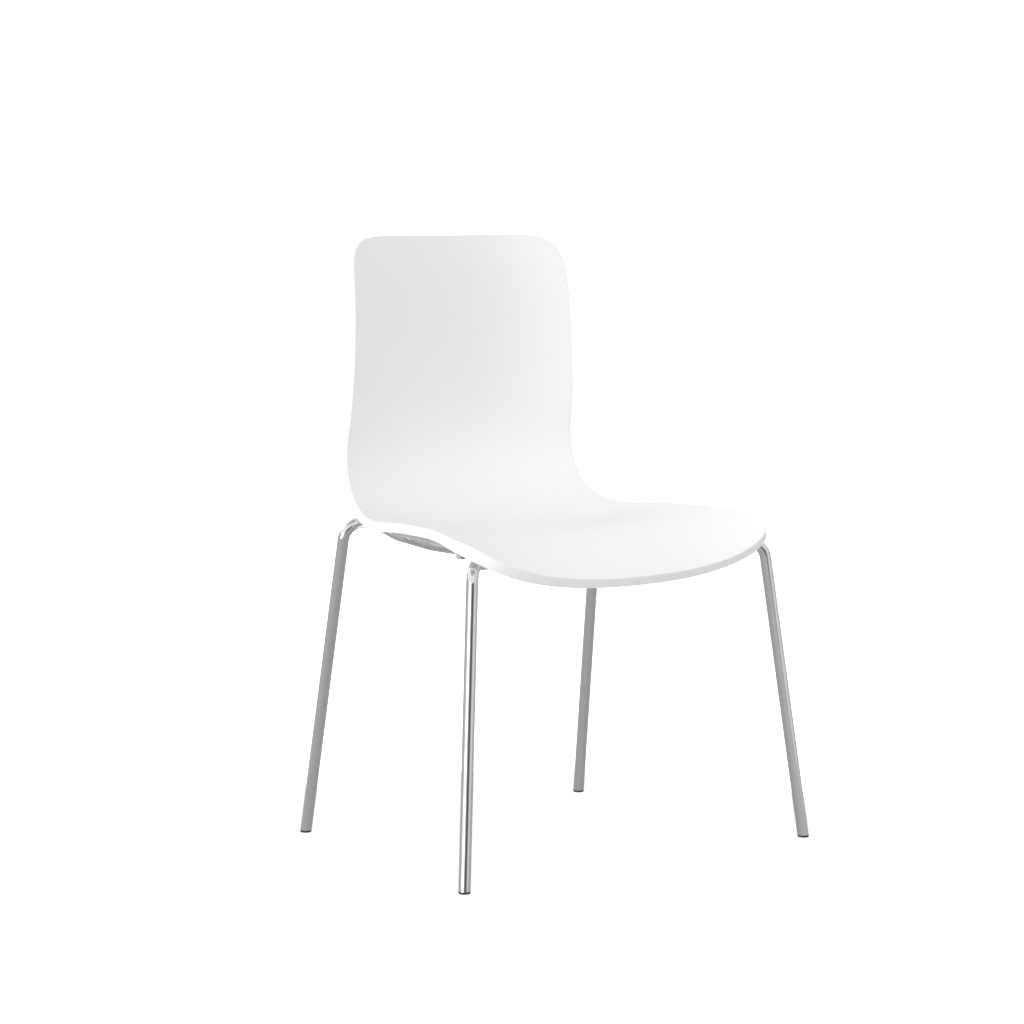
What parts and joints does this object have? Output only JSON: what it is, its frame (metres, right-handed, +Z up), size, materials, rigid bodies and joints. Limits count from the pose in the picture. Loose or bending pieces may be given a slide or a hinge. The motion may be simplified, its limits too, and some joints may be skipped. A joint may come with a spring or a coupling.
{
  "type": "stacking chair",
  "caption": "Armless stacking chair with a one-piece moulded plastic seat and back shell on chromed tubular legs joined under the seat.",
  "frame": {"origin": "on the floor under the middle of the chair's bounding box", "axes": "+Z up, -Y towards the front of the chair, +X towards its right-hand side as seen from the front"},
  "size_m": [0.6056, 0.4699, 0.8399],
  "materials": {
    "shell": "fine satin texture, white",
    "chrome": "bright plated",
    "zinc_steel": "zinc plated",
    "brass": "machined",
    "grey_plastic": "matt",
    "black_plastic": "satin"
  },
  "bodies": {
    "root": {"seat_shell": "shell", "front_leg_hoop": "chrome", "rear_leg_hoop": "chrome", "left_side_rail": "chrome", "right_side_rail": "chrome", "front_left_insert": "brass", "front_left_fixing_tab": "chrome", "front_left_washer": "zinc_steel", "front_left_screw": "zinc_steel", "rear_left_insert": "brass", "rear_left_fixing_tab": "chrome", "rear_left_washer": "zinc_steel", "rear_left_screw": "zinc_steel", "front_right_insert": "brass", "front_right_fixing_tab": "chrome", "front_right_washer": "zinc_steel", "front_right_screw": "zinc_steel", "rear_right_insert": "brass", "rear_right_fixing_tab": "chrome", "rear_right_washer": "zinc_steel", "rear_right_screw": "zinc_steel", "front_left_stack_bumper": "grey_plastic", "rear_left_stack_bumper": "grey_plastic", "front_right_stack_bumper": "grey_plastic", "rear_right_stack_bumper": "grey_plastic", "front_left_glide": "black_plastic", "rear_left_glide": "black_plastic", "front_right_glide": "black_plastic", "rear_right_glide": "black_plastic"}
  },
  "joints": []
}
